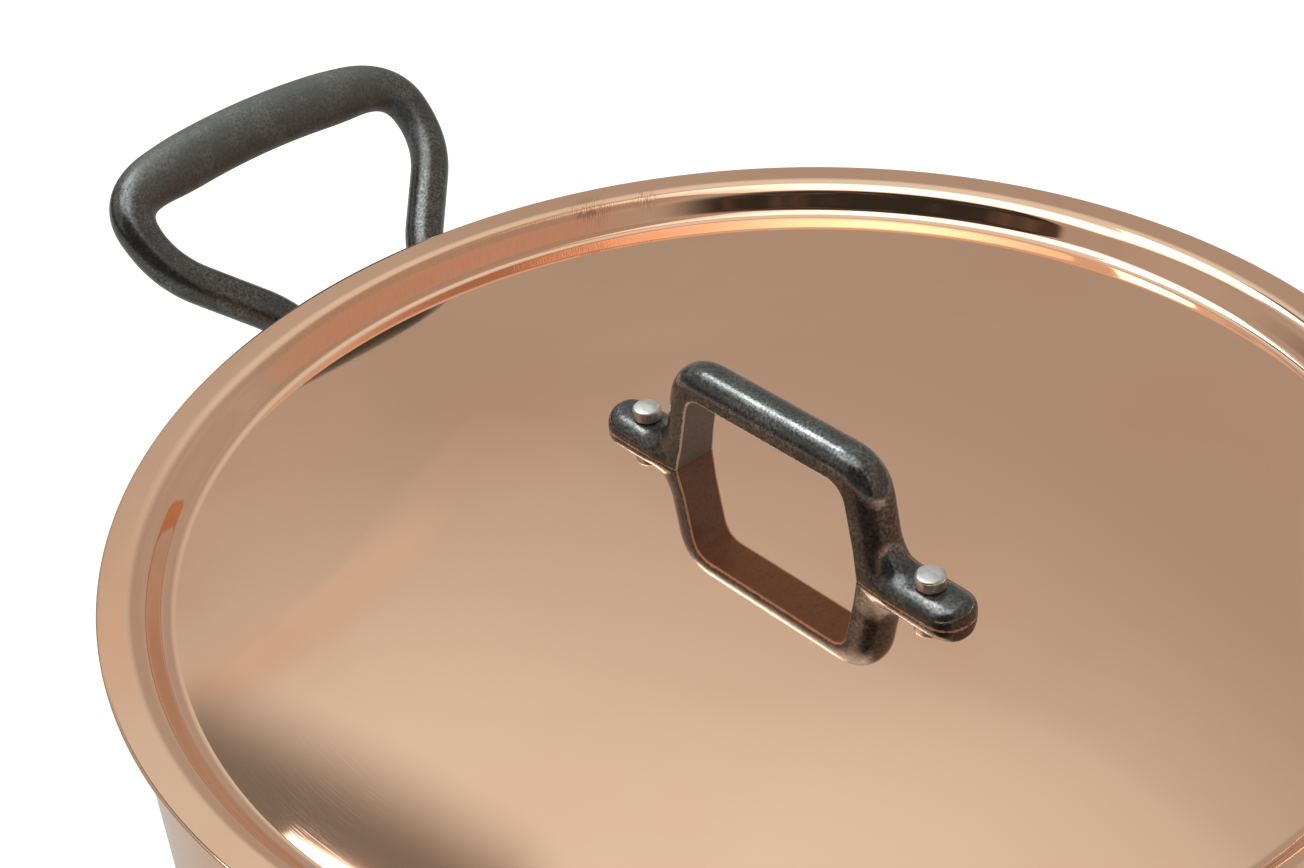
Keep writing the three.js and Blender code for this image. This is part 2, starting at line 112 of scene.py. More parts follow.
def skin_mesh(name, grids, marks=None):
    """A mesh of one or more closed skins. Each grid holds millimetre points as [row, column, xyz],
    and marks holds named numbers for the same points."""
    points, faces, start = [], [], 0
    for grid in grids:
        flat = grid.reshape(-1, 3) * MM
        quads = ring_faces(*grid.shape[:2])
        points.append(flat)
        faces.append((quads if volume(flat, quads) > 0 else quads[:, ::-1]) + start)
        start += len(flat)
    points, faces = np.vstack(points), np.vstack(faces)
    mesh = bpy.data.meshes.new(name)
    mesh.from_pydata(points.tolist(), [], faces.tolist())
    for mark, values in (marks or {}).items():
        mesh.attributes.new(mark, "FLOAT", "POINT").data.foreach_set("value", values.ravel())
    work = bmesh.new()
    work.from_mesh(mesh)
    bmesh.ops.remove_doubles(work, verts=work.verts, dist=MERGE)
    work.to_mesh(mesh)
    work.free()
    mesh.shade_smooth()
    mesh.set_sharp_from_angle(angle=SHARP_ANGLE)
    return mesh


def add_piece(mesh, body, nodes, finish):
    """An object that stands for its solids, rides on their body and wears a finish."""
    piece = bpy.data.objects.new(mesh.name, mesh)
    scene.collection.objects.link(piece)
    mesh.materials.clear()
    mesh.materials.append(finish)
    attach(piece, body)
    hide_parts(*nodes)
    print(piece.name, "faces:", len(mesh.polygons))
    return piece


# %% [markdown]
# ## Profiles
# A profile is a row of points: straight runs, arcs and parabolas, one after the other. A turned
# piece is its profile carried round the axis.

# %% Profiles
ROUND_STEPS = 288


def straight(start, end, count):
    """Points on the line from start to end, both included."""
    share = np.linspace(0, 1, count)[:, None]
    return np.asarray(start) * (1 - share) + np.asarray(end) * share


def arc(centre, radius, first, last, count):
    """Points on a circle: the centre plus the radius times cosine and sine of angles in degrees."""
    angle = np.radians(np.linspace(first, last, count))
    return np.asarray(centre) + radius * np.stack([np.cos(angle), np.sin(angle)], -1)


def parabola(start, corner, end, share):
    """Quadratic curve: weights (1-t)^2, 2t(1-t) and t^2 on its start, its corner and its end."""
    start, corner, end = (np.asarray(p) for p in (start, corner, end))
    t = np.asarray(share)[:, None]
    return (1 - t) ** 2 * start + 2 * t * (1 - t) * corner + t**2 * end


def turned(profile, steps=ROUND_STEPS):
    """A profile of (radius, height) turned round Z: x, y = radius times cosine and sine."""
    angle = np.linspace(0, 2 * np.pi, steps, endpoint=False)
    radius, height = profile[:, :1], profile[:, 1:]
    flat = np.ones(steps)
    return np.stack([radius * np.cos(angle), radius * np.sin(angle), height * flat], -1)


# %% [markdown]
# ## Studio
# Polished metal has no look of its own: it shows the studio. The lid acts as a mirror, so what it
# shows in the photograph tells what stood round it. Two level softboxes hang over the lid, and a
# tent of pale cloth stands round everything. Directions are counted from the camera, as a
# photographer does.

# %% Directions in the studio
away = Vector((forward.x, forward.y, 0)).normalized()
across = Vector((away.y, -away.x, 0))


def heading(azimuth, elevation):
    """Unit vector: azimuth in degrees from the far side to the right, elevation above the floor."""
    a, e = math.radians(azimuth), math.radians(elevation)
    level = across * math.sin(a) + away * math.cos(a)
    return level * math.cos(e) + Vector((0, 0, math.sin(e)))


print("far side:", tuple(round(v, 3) for v in away))

# %% [markdown]
# ## Nodes
# Every material below is a small tree of nodes. Made by short functions, it reads like a recipe:
# noise gives a random number, a ramp turns it into a share, and the share blends two colours. A
# socket knows which tree it is in, so only the first node of a recipe has to be told.

# %% Nodes
FIRST_COLOUR, SECOND_COLOUR, COLOUR_RESULT = 6, 7, 2


def add_node(kind, inputs=None, tree=None, **settings):
    """A shader node with its settings. An input is a value, or a socket whose tree it joins."""
    inputs = inputs or {}
    linked = [key for key, value in inputs.items() if isinstance(value, bpy.types.NodeSocket)]
    tree = tree or inputs[linked[0]].id_data
    node = tree.nodes.new("ShaderNode" + kind)
    for key, value in settings.items():
        setattr(node, key, value)
    for key, value in inputs.items():
        if key in linked:
            tree.links.new(value, node.inputs[key])
        else:
            node.inputs[key].default_value = value
    return node


def math_node(operation, first, second=0.0):
    """The socket that gives a sum, product or other operation on two numbers or sockets."""
    return add_node("Math", {0: first, 1: second}, operation=operation).outputs[0]


def product(*values):
    """The product of numbers or sockets, such as masks that all have to be 1."""
    whole = values[0]
    for value in values[1:]:
        whole = math_node("MULTIPLY", whole, value)
    return whole


def ramp(value, low, high, start=0.0, end=1.0, smooth=True):
    """A number carried from the range low to high into the range start to end, and held there."""
    inputs = {"Value": value, "From Min": low, "From Max": high, "To Min": start, "To Max": end}
    kind = "SMOOTHSTEP" if smooth else "LINEAR"
    return add_node("MapRange", inputs, interpolation_type=kind).outputs["Result"]


def blend(share, first, second):
    """A colour between two others. A Mix node has its colour sockets at fixed places."""
    inputs = {"Factor": share, FIRST_COLOUR: first, SECOND_COLOUR: second}
    return add_node("Mix", inputs, data_type="RGBA").outputs[COLOUR_RESULT]


def object_place(tree, scale=(1, 1, 1), turn=(0, 0, 0)):
    """Object coordinates in metres, stretched and turned."""
    coordinates = add_node("TexCoord", tree=tree).outputs["Object"]
    inputs = {"Vector": coordinates, "Scale": scale, "Rotation": turn}
    return add_node("Mapping", inputs).outputs["Vector"]


def parts_of(vector):
    """The three coordinates of a vector, by their names."""
    return add_node("SeparateXYZ", {0: vector}).outputs


def vector_math(operation, first, second=(0, 0, 0)):
    """The number that an operation on two vectors gives, such as their distance."""
    inputs = {0: first, 1: second}
    return add_node("VectorMath", inputs, operation=operation).outputs["Value"]


def noise(place, scale, detail=2.0, rough=0.5):
    """Smooth random values about 0.5, with a given number of lumps in a metre."""
    inputs = {"Vector": place, "Scale": scale, "Detail": detail, "Roughness": rough}
    return add_node("TexNoise", inputs).outputs["Fac"]


def new_material(name):
    """A node material, and the Object coordinates that its recipe starts from."""
    material = bpy.data.materials.new(name)
    material.use_nodes = True
    material.node_tree.nodes.clear()
    print("material:", name)
    return material, object_place(material.node_tree)


def cover(shader):
    """The last node of a material: its surface gets the shader's light."""
    add_node("OutputMaterial", {"Surface": shader.outputs[0]})


# %% [markdown]
# ## World and floor
# The floor is matt and pale. The glow that makes it white is only for the camera and for mirror
# images, so the pan keeps its shadow and gets no extra light. The world does the same: it is white
# where the camera looks at it, and half as bright as a light.

# %% World
WHITE = (1.0, 1.0, 1.0, 1.0)
WORLD_LIGHT = 0.5


def seen_directly(tree, mirror_share=1.0):
    """1 for rays from the camera, a share of it for rays from mirrors and glass, 0 for the rest."""
    path = add_node("LightPath", tree=tree).outputs
    mirrored = math_node("MAXIMUM", path["Is Glossy Ray"], path["Is Transmission Ray"])
    return math_node("MAXIMUM", path["Is Camera Ray"], product(mirrored, mirror_share))


scene.view_settings.view_transform = "Standard"
scene.world = bpy.data.worlds.new("studio")
scene.world.use_nodes = True
tree = scene.world.node_tree
tree.nodes.clear()
level = ramp(seen_directly(tree), 0, 1, WORLD_LIGHT, 1.0, smooth=False)
sky = add_node("Background", {"Color": WHITE, "Strength": level})
add_node("OutputWorld", {"Surface": sky.outputs[0]})
print("world light:", WORLD_LIGHT)

# %% Floor
FLOOR_SIZE = 16.0
FLOOR_DROP = 0.0002
FLOOR_COLOUR = (0.48, 0.485, 0.455, 1.0)
FLOOR_SHADE = (0.4728, 0.477725, 0.448175, 1.0)
FLOOR_GLOW = (0.5, 2.2, 0.70, 1.0)
FLOOR_MIRRORED = 0.12

floor_finish, place = new_material("floor_paper")
tone = blend(noise(place, scale=40.0, detail=3.0), FLOOR_COLOUR, FLOOR_SHADE)
paper = add_node("BsdfDiffuse", {"Color": tone})
strength = ramp(vector_math("LENGTH", place), *FLOOR_GLOW)
strength = product(seen_directly(floor_finish.node_tree, FLOOR_MIRRORED), strength)
glow = add_node("Emission", {"Strength": strength})
both = add_node("AddShader", {0: paper.outputs[0], 1: glow.outputs[0]})
cover(both)

half = FLOOR_SIZE / 2
square = [(-half, -half), (half, -half), (half, half), (-half, half)]
floor_mesh = bpy.data.meshes.new("floor")
floor_mesh.from_pydata([(x, y, -FLOOR_DROP) for x, y in square], [], [(0, 1, 2, 3)])
floor_mesh.materials.append(floor_finish)
floor = bpy.data.objects.new("floor", floor_mesh)
scene.collection.objects.link(floor)

# %% [markdown]
# ## Softboxes
# A softbox is a lamp behind cloth: bright in the middle, dimmer along its edges. A large one hangs
# over the pan and to the left. A smaller, brighter one is the long highlight on the lid handle's
# bar. They are area lamps, and a lamp's own nodes can fade its edges.

# %% Softboxes
LID_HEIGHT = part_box("lid_shell")[1].z
SOFTBOX_HEIGHT = 1.1
SOFTBOX_EDGE = 0.30
SOFTBOX_RIM = 0.30


def add_softbox(name, right, far, width, depth, turn, radiance):
    """A level lamp over the lid: bright in the middle, with a soft fall of light at its edges."""
    lamp = bpy.data.lights.new(name, "AREA")
    lamp.shape = "RECTANGLE"
    lamp.size, lamp.size_y = width, depth
    lamp.energy = radiance * math.pi * width * depth
    lamp.use_nodes = True
    tree = lamp.node_tree
    sheet = parts_of(add_node("NewGeometry", tree=tree).outputs["Parametric"])
    edges = [math_node("PINGPONG", sheet[k], 0.5) for k in ("X", "Y")]
    inside = ramp(math_node("MINIMUM", *edges), 0.0, SOFTBOX_EDGE, SOFTBOX_RIM, 1.0)
    tree.links.new(inside, tree.nodes["Emission"].inputs["Strength"])
    softbox = bpy.data.objects.new(name, lamp)
    softbox.location = across * right + away * far + Vector((0, 0, LID_HEIGHT + SOFTBOX_HEIGHT))
    softbox.rotation_euler.z = math.atan2(across.y, across.x) + math.radians(turn)
    softbox.visible_camera = False
    scene.collection.objects.link(softbox)
    print(name, "watts:", round(lamp.energy, 2))


add_softbox("overhead", right=-0.46, far=0.0, width=1.265, depth=0.88, turn=-15, radiance=2.1)
add_softbox("key", right=-0.546, far=0.5, width=0.44, depth=0.76, turn=-44, radiance=11.0)

# %% [markdown]
# ## Tent
# The tent is a dome that glows like lit cloth, and the camera doesn't see it. A place on it is a
# direction from the pan, so a patch of paint can be bounded by directions. The cosine of the angle
# to a direction grows towards it: a high cosine bounds a round patch, and a cosine of 0 bounds the
# half of the tent on one side of a plane. The cloth is creased, and brighter near the softboxes.

# %% Cloth of the tent
TENT_CLOTH = (0.45, 0.43, 0.39, 1.0)
TENT_FOLDS = (0.485, 0.46, 0.415, 1.0)
FOLD_RANGE = (0.48, 0.62)
TENT_GLOW = (0.79, 0.855, 0.83, 1.0)
BRIGHT_PART = [(heading(-21, 69), 0.78, 0.973)]

tent_finish, place = new_material("tent_cloth")
aim = add_node("VectorMath", {0: place}, operation="NORMALIZE").outputs[0]


def towards(direction, low, high):
    """0 to 1 as the cosine of the angle between a place and a direction goes from low to high."""
    return ramp(vector_math("DOT_PRODUCT", aim, direction), low, high)


def patch(bounds):
    """1 where all bounds are met, each of them a direction with a low and a high cosine."""
    return product(*(towards(*bound) for bound in bounds))


cloth = blend(ramp(noise(aim, scale=2.6), *FOLD_RANGE), TENT_CLOTH, TENT_FOLDS)
cloth = blend(patch(BRIGHT_PART), cloth, TENT_GLOW)
print("tent is brightest towards", tuple(round(v, 2) for v in BRIGHT_PART[0][0]))

# %% [markdown]
# The tent's opening, on a dark room, is behind the camera and to its left, and gives the black
# band in the far part of the rim. The cloth is also dim low down and high on the right, and a warm
# board leans on the right, which colours the left part of the rim.

# %% Opening, dim parts and warm board
DOWN = Vector((0, 0, -1))
OPENING = [(heading(-147, 20), 0.64, 0.80), (heading(153, 0), -0.01, 0.02)]
OPENING_DARK = (0.032, 0.031, 0.028, 1.0)
OPENING_MOTTLE = (0.125, 0.092, 0.070, 1.0)
MOTTLE_RANGE = (0.42, 0.72)
LOW_PART = [(DOWN, -0.34, -0.14), (heading(-110, 0), -0.1, 0.25)]
LOW_DARK = (0.09, 0.088, 0.08, 1.0)
HIGH_PART = [(heading(98, 60), 0.80, 0.93)]
HIGH_DIM = (0.42, 0.37, 0.32, 1.0)
BOARD = [(DOWN, -0.80, -0.64), (heading(165.5, 0), 0.0, 0.06), (heading(68, 0), 0.0, 0.25)]
BOARD_WARM = (0.53, 0.40, 0.33, 1.0)

room = blend(ramp(noise(aim, scale=7.0), *MOTTLE_RANGE), OPENING_DARK, OPENING_MOTTLE)
cloth = blend(patch(OPENING), cloth, room)
for bounds, paint in ((LOW_PART, LOW_DARK), (HIGH_PART, HIGH_DIM), (BOARD, BOARD_WARM)):
    cloth = blend(patch(bounds), cloth, paint)
print("opening towards", tuple(round(v, 2) for v in OPENING[0][0]))

# %% [markdown]
# Three things on the far side show in the front of the lid's panel: a faint warm strip, a black
# flag (a card that keeps light off the lens), and a sewn-in panel slightly brighter than the
# cloth. The cross product of two directions is the normal of the plane through both, and such a
# plane cuts a straight edge.

# %% Strip, flag and sewn-in panel
def edge_between(first, second):
    """The unit normal of the plane through the pan and two directions."""
    return first.cross(second).normalized()


strip_edge = edge_between(heading(-21.7, 41.1), heading(-13.8, 38.6))
STRIP_HALF = 0.029666
STRIP = [(side, -STRIP_HALF, 0.0) for side in (strip_edge, -strip_edge)]
STRIP += [(heading(-18, 40), 0.991445, 0.998630)]
STRIP_WARM = (0.64, 0.60, 0.53, 1.0)
flag_edge = edge_between(heading(-15.7, 50.9), heading(-23.4, 43.3))
FLAG = [(flag_edge, -0.045363, 0.013962), (heading(-19.5, 48), 0.987688, 0.994522)]
FLAG_BLACK = (0.205, 0.20, 0.185, 1.0)
SEAM_TIP = heading(-7.7, 32.7)
left_seam = edge_between(SEAM_TIP, heading(-21.3, 40.4))
right_seam = edge_between(heading(-2.6, 36.5), SEAM_TIP)
SEWN_IN = [(left_seam, -0.002, 0.006), (right_seam, -0.002, 0.02)]
SEWN_IN_LIGHT = 1.045

for bounds, paint in ((STRIP, STRIP_WARM), (FLAG, FLAG_BLACK)):
    cloth = blend(patch(bounds), cloth, paint)
brightness = ramp(patch(SEWN_IN), 0, 1, 1.0, SEWN_IN_LIGHT)
cover(add_node("Emission", {"Color": cloth, "Strength": brightness}))
print("nodes of the tent:", len(tent_finish.node_tree.nodes))

# %% Put up the tent
TENT_RADIUS = 3.0
TENT_ROWS = 24
TENT_SIDES = 64

dome = turned(arc((0, 0), TENT_RADIUS / MM, -1, 90, TENT_ROWS), TENT_SIDES)
tent = bpy.data.objects.new("tent", skin_mesh("tent", [dome]))
tent.data.materials.append(tent_finish)
tent.visible_camera = False
tent.visible_shadow = False
scene.collection.objects.link(tent)
print("tent faces:", len(tent.data.polygons))

# %% [markdown]
# ## Copper
# The sheet is polished until it is a mirror, and copper colours what it mirrors. Real polished
# copper is never quite even: a cloth leaves faint hazy streaks, the air warms the tone in soft
# patches, and a few dots stay where a drop dried. These are small changes of roughness and colour
# on Object coordinates, so the streaks lie on the metal and not on the picture.

# %% Helpers for metal
def metal_cover(colour, roughness, metallic, normal=None):
    """The main shader, from a colour, a roughness and a share of metal, as numbers or sockets."""
    inputs = {"Base Color": colour, "Roughness": roughness, "Metallic": metallic}
    if normal is not None:
        inputs["Normal"] = normal
    cover(add_node("BsdfPrincipled", inputs))


def bump(height, strength, depth):
    """A normal that follows a height from 0 to 1, which stands for a depth in metres."""
    inputs = {"Height": height, "Strength": strength, "Distance": depth}
    return add_node("Bump", inputs).outputs["Normal"]


def vector_of(x=0.0, y=0.0, z=0.0):
    """A vector put together from three numbers or sockets."""
    return add_node("CombineXYZ", {0: x, 1: y, 2: z}).outputs[0]


def round_axis(place):
    """The distance of a place from the Z axis, and its separate coordinates."""
    parts = parts_of(place)
    return vector_math("LENGTH", vector_of(parts["X"], parts["Y"])), parts


# %% [markdown]
# The polishing wheel leaves marks of its own. Short leaning strokes lie across the lid's step on
# the left, two small spots there are rubbed dull, and fine hairs run round the panel at the front.
# They all follow the round of the lid, so their noise is read at (angle, distance from the axis).

# %% Marks of the polishing wheel
STEP_INNER = (0.1322, 0.1342)
STEP_OUTER = (0.1378, 0.1402)
STROKES_START = (-0.62, -0.40)
STROKES_END = (0.10, 0.42)
STROKE_LEAN, STROKE_TURNS, STROKE_RINGS = 3.0, 330.0, 420.0
BLOOM_RANGE = (0.3, 0.7, 0.45, 1.0)
RUBS = (
    ((-0.1237, 0.0590, 0.0914), 0.0020, 0.0070),
    ((-0.1160, 0.0722, 0.0916), 0.0012, 0.0050),
)
RUB_RANGE = (0.46, 0.60)
HAIRS = ((-0.0085, -0.1235, 0.0848), 0.006, 0.024)
HAIR_TURNS, HAIR_RINGS = 9.0, 3000.0
HAIR_RANGE = (0.48, 0.70)
HAIR_DEPTH = 0.012


def near_point(place, centre, inside, outside):
    """1 closer to a point than one distance, 0 beyond another, in metres on the object."""
    return ramp(vector_math("DISTANCE", place, centre), inside, outside, 1.0, 0.0)


def wheel_marks(place):
    """Shares of bloom, rub and hairs, from noise round the axis, and the normal that they bend."""
    radius, parts = round_axis(place)
    angle = math_node("ARCTAN2", product(parts["Y"], -1.0), product(parts["X"], -1.0))
    across_step = ramp(radius, *STEP_INNER), ramp(radius, *STEP_OUTER, 1.0, 0.0)
    along_step = ramp(angle, *STROKES_START), ramp(angle, *STROKES_END, 1.0, 0.0)
    step = product(*across_step, *along_step)
    lean = math_node("ADD", angle, product(radius, STROKE_LEAN))
    grid = vector_of(product(lean, STROKE_TURNS), product(radius, STROKE_RINGS))
    strokes = noise(grid, scale=1.0, detail=3.0, rough=0.7)
    rubs = math_node("MAXIMUM", *(near_point(place, *rub) for rub in RUBS))
    bloom = product(step, ramp(strokes, *BLOOM_RANGE))
    rubbed = product(rubs, ramp(strokes, *RUB_RANGE))
    rings = vector_of(product(angle, HAIR_TURNS), product(radius, HAIR_RINGS))
    hairs = product(near_point(place, *HAIRS), ramp(noise(rings, scale=1.0), *HAIR_RANGE))
    relief = product(math_node("MAXIMUM", step, rubs), strokes)
    relief = math_node("ADD", relief, product(hairs, HAIR_DEPTH))
    return bloom, rubbed, hairs, bump(relief, strength=0.5, depth=0.00006)


# %% Copper finish
COPPER = (0.93, 0.60, 0.43, 1.0)
COPPER_WARM = (0.90, 0.555, 0.385, 1.0)
COPPER_BLOOM = (0.87, 0.49, 0.32, 1.0)
COPPER_RUBBED = (0.56, 0.31, 0.21, 1.0)
COPPER_HAIR = (0.95, 0.66, 0.49, 1.0)
DRIED_DROP = (0.42, 0.22, 0.13, 1.0)
PATCH_RANGE = (0.42, 0.72)
DROP_SIZE = 26.0
DROP_RANGE = (0.003, 0.008)
WIPE_STRETCH = (9, 240, 60)
WIPE_TURN = (0, 0, math.radians(35))
WIPE_RANGE = (0.5, 0.85)
HAZE_RANGE = (0.45, 0.75)
RUBBED_ROUGH = 0.10


def copper_finish(name, polish, marked=False):
    """Polished copper: warm patches in the colour, and wiping streaks and haze in the roughness."""
    material, place = new_material(name)
    patches = ramp(noise(place, scale=14.0, detail=4.0), *PATCH_RANGE)
    colour = blend(patches, COPPER, COPPER_WARM)
    dots = add_node("TexVoronoi", {"Vector": place, "Scale": DROP_SIZE})
    drops = ramp(dots.outputs["Distance"], *DROP_RANGE, 1.0, 0.0)
    colour = blend(drops, colour, DRIED_DROP)
    wiped = object_place(material.node_tree, WIPE_STRETCH, WIPE_TURN)
    streaks = ramp(noise(wiped, scale=1.0, detail=3.0, rough=0.6), *WIPE_RANGE)
    haze = ramp(noise(place, scale=7.0, detail=3.0), *HAZE_RANGE)
    rough = math_node("ADD", product(streaks, haze, polish), polish)
    normal = None
    if marked:
        bloom, rubbed, hairs, normal = wheel_marks(place)
        for mark, tone in ((bloom, COPPER_BLOOM), (rubbed, COPPER_RUBBED), (hairs, COPPER_HAIR)):
            colour = blend(mark, colour, tone)
        dull = math_node("MAXIMUM", bloom, rubbed)
        rough = math_node("ADD", rough, product(dull, RUBBED_ROUGH))
    metal_cover(colour, rough, 1.0, normal)
    return material


LID_FINISH = copper_finish("polished_copper_lid", polish=0.035, marked=True)
WALL_FINISH = copper_finish("polished_copper_wall", polish=0.075)

# %% [markdown]
# ## Steel
# The inside of the pan and the underside of the lid are a thin layer of stainless steel. It is
# finished while it spins, so its scratches are circles: the pattern depends on the distance from
# the axis and on the height, not on the angle. The rivets are steel, tumbled to a dull bright skin.

# %% Steel lining
LINING_STEEL = (0.60, 0.59, 0.57, 1.0)
LINING_SHADE = (0.50, 0.49, 0.475, 1.0)
LINE_RANGE = (0.35, 0.7)
LINE_ROUGH = (0.3, 0.8, 0.0, 0.1)
CLOUD_ROUGH = (0.3, 0.8, 0.20, 0.30)


def lining_finish():
    """Steel brushed round the axis: noise on (distance from the axis, height), in fine lines."""
    material, place = new_material("brushed_lining")
    radius, parts = round_axis(place)
    grid = vector_of(x=radius, z=parts["Z"])
    lines = noise(grid, scale=2600.0, detail=3.0, rough=0.7)
    cloud = noise(place, scale=18.0, detail=3.0)
    colour = blend(ramp(lines, *LINE_RANGE), LINING_STEEL, LINING_SHADE)
    rough = math_node("ADD", ramp(cloud, *CLOUD_ROUGH), ramp(lines, *LINE_ROUGH))
    metal_cover(colour, rough, 1.0, bump(lines, strength=0.12, depth=0.00004))
    return material


LINING_FINISH = lining_finish()

# %% Rivet steel
RIVET_STEEL = (0.72, 0.71, 0.705, 1.0)
RIVET_DULL = (0.46, 0.455, 0.45, 1.0)
DULL_RANGE = (0.35, 0.7)
RIVET_ROUGH = (0.3, 0.75, 0.34, 0.50)


def rivet_finish():
    """Tumbled steel: a dull skin broken by fine lighter grain, with small dents."""
    material, place = new_material("rivet_steel")
    grain = noise(place, scale=2200.0, detail=3.0, rough=0.6)
    dull = ramp(noise(place, scale=420.0, detail=3.0), *DULL_RANGE)
    colour = blend(dull, RIVET_STEEL, RIVET_DULL)
    rough = ramp(grain, *RIVET_ROUGH)
    metal_cover(colour, rough, 1.0, bump(grain, strength=0.25, depth=0.00006))
    return material


RIVET_FINISH = rivet_finish()

# %% [markdown]
# ## Cast iron
# The handles are sand castings, ground and oiled. The oil leaves a satin skin, and the grain of
# the sand shows as fine lighter grit. Hands dull the grips of the loops. On the lid handle, the
# flat inner faces stay raw, since no wheel reaches them, and the corner beside them is rubbed to
# bare metal, which is painted pale and not metallic, so that it is also a painted highlight line.
# Its mesh carries both as attributes: raw is 1 on the flat faces, and the mark of the bare edge
# and its painted highlight is highest at their corners and falls by 1 with each millimetre
# outwards.

# %% Held part of a loop
GRIP_OUT = (0.160, 0.172)
GRIP_SIDE = (0.032, 0.047)


def held_part(place):
    """1 on a loop's grip, which hands have dulled: far from the axis, and close to the XZ plane."""
    parts = parts_of(place)
    out, side = (math_node("ABSOLUTE", parts[k]) for k in ("X", "Y"))
    return product(ramp(out, *GRIP_OUT), ramp(side, *GRIP_SIDE, 1.0, 0.0))


# %% Cast-iron finish
IRON = (0.076, 0.079, 0.079, 1.0)
IRON_GRIT = (0.205, 0.210, 0.209, 1.0)
IRON_RAW = (0.205, 0.214, 0.222, 1.0)
IRON_PITS = (0.150, 0.150, 0.150, 1.0)
# Pale, not metallic colour of the lid handle's bare edge: bare metal from wear, brightened into a
# painted highlight line.
IRON_BARE_AND_HIGHLIGHT = (0.75, 0.75, 0.74, 1.0)
IRON_GRIP = (0.072, 0.080, 0.078, 1.0)
GRIP_SPECK = (0.150, 0.160, 0.155, 1.0)
IRON_METAL, RAW_METAL, GRIP_METAL = 0.82, 0.35, 0.2
GRIT_RANGE = (0.38, 0.62)
MOTTLE_SHARE = (0.4, 0.65, 0.4, 1.0)
PIT_RANGE = (0.3, 0.55)
# Noise and range that shape the bare edge's mark, which is wear and a painted highlight line.
WEAR_AND_HIGHLIGHT_SCATTER = (0.2, 0.8, -0.25, 0.25)
WEAR_AND_HIGHLIGHT_RANGE = (1.68, 1.88)
LUMP_ROUGH = (0.3, 0.7, 0.12, 0.18)
GRAIN_ROUGH = (0.3, 0.7, 0.0, 0.08)
RAW_ROUGH, WORN_ROUGH, HELD_ROUGH = 0.25, 0.25, 0.28
GRAIN_RELIEF, LUMP_RELIEF = 0.55, 0.6


def attribute(tree, name):
    """A number that the mesh carries at its points, 0 where it carries none."""
    return add_node("Attribute", tree=tree, attribute_name=name).outputs["Fac"]


def iron_finish():
    """Oiled cast iron: dark skin, lighter grit, bare edges painted pale as highlights, two sizes of
    grain.
    """
    material, place = new_material("cast_iron")
    grain = noise(place, scale=1500.0, detail=4.0, rough=0.65)
    lumps = noise(place, scale=330.0, detail=3.0, rough=0.55)
    mottle = noise(place, scale=140.0, detail=4.0, rough=0.6)
    held = held_part(place)
    raw, edges = (attribute(material.node_tree, mark) for mark in ("raw", "wear_and_highlight"))
    # The bare edge's mark, scattered by the grain: wear to bare metal and a painted highlight line.
    scatter = ramp(grain, *WEAR_AND_HIGHLIGHT_SCATTER, smooth=False)
    wear_and_highlight = ramp(math_node("ADD", edges, scatter), *WEAR_AND_HIGHLIGHT_RANGE)
    grit = product(ramp(grain, *GRIT_RANGE), ramp(mottle, *MOTTLE_SHARE))
    colour = blend(grit, blend(held, IRON, IRON_GRIP), blend(held, IRON_GRIT, GRIP_SPECK))
    pitted = blend(ramp(grain, *PIT_RANGE), IRON_PITS, IRON_RAW)
    # Bare edges are painted pale: bare metal, brightened into a painted highlight line.
    colour = blend(wear_and_highlight, blend(raw, colour, pitted), IRON_BARE_AND_HIGHLIGHT)
    rough = math_node("ADD", ramp(lumps, *LUMP_ROUGH), ramp(grain, *GRAIN_ROUGH))
    for dull, more in ((raw, RAW_ROUGH), (wear_and_highlight, WORN_ROUGH), (held, HELD_ROUGH)):
        rough = math_node("ADD", rough, product(dull, more))
    relief = math_node("ADD", product(grain, GRAIN_RELIEF), product(lumps, LUMP_RELIEF))
    # The bare edge has no metal, so its pale paint shows as a highlight line.
    ends = ((raw, IRON_METAL, RAW_METAL), (held, 1.0, GRIP_METAL), (wear_and_highlight, 1.0, 0.0))
    metal = product(*(ramp(mark, 0, 1, *span, smooth=False) for mark, *span in ends))
    metal_cover(colour, rough, metal, bump(relief, strength=0.30, depth=0.0002))
    return material


IRON_FINISH = iron_finish()

# %% [markdown]
# ## Pan
# The pan is a flat floor, a round corner and a straight wall, pressed from a sheet of copper with
# steel bonded to it. Each layer is a closed profile of radius and height, turned round the axis.
# The rim's edges are broken by a fraction of a millimetre, as a file leaves them, because a
# perfectly sharp edge never catches the light.

# %% Pan body and lining
PAN_RADIUS = 142.0
PAN_HEIGHT = 90.0
PAN_CORNER = 14.0
PAN_COPPER = 1.75
PAN_WALL = 2.0
BOND = 0.05
RIM_BREAK = 0.35
LINING_BREAK = 0.06
FLOOR_ROWS = 24
FLOOR_CROWDING = 0.7
CORNER_ROWS = 20
WALL_ROWS = 12
RIM_ROWS = 6


def pan_skin(depth, top):
    """From the axis along the floor, round the corner and up the wall, at a depth in the sheet."""
    hub = PAN_RADIUS - PAN_CORNER
    out = hub * np.linspace(0, 1, FLOOR_ROWS)[:, None] ** FLOOR_CROWDING
    floor_run = out * [1, 0] + [0, depth]
    corner = arc((hub, PAN_CORNER), PAN_CORNER - depth, -90, 0, CORNER_ROWS)
    wall = straight((PAN_RADIUS - depth, PAN_CORNER), (PAN_RADIUS - depth, top), WALL_ROWS)
    return np.vstack([floor_run, corner[1:], wall[1:]])


def pan_layer(outer, inner, edge):
    """Outer skin up, round the two broken edges of the rim, and back down the inner skin."""
    top = PAN_HEIGHT - edge
    outside = arc((PAN_RADIUS - outer - edge, top), edge, 0, 90, RIM_ROWS)
    inside = arc((PAN_RADIUS - inner + edge, top), edge, 90, 180, RIM_ROWS)
    return np.vstack([pan_skin(outer, top), outside[1:], inside, pan_skin(inner, top)[-2::-1]])


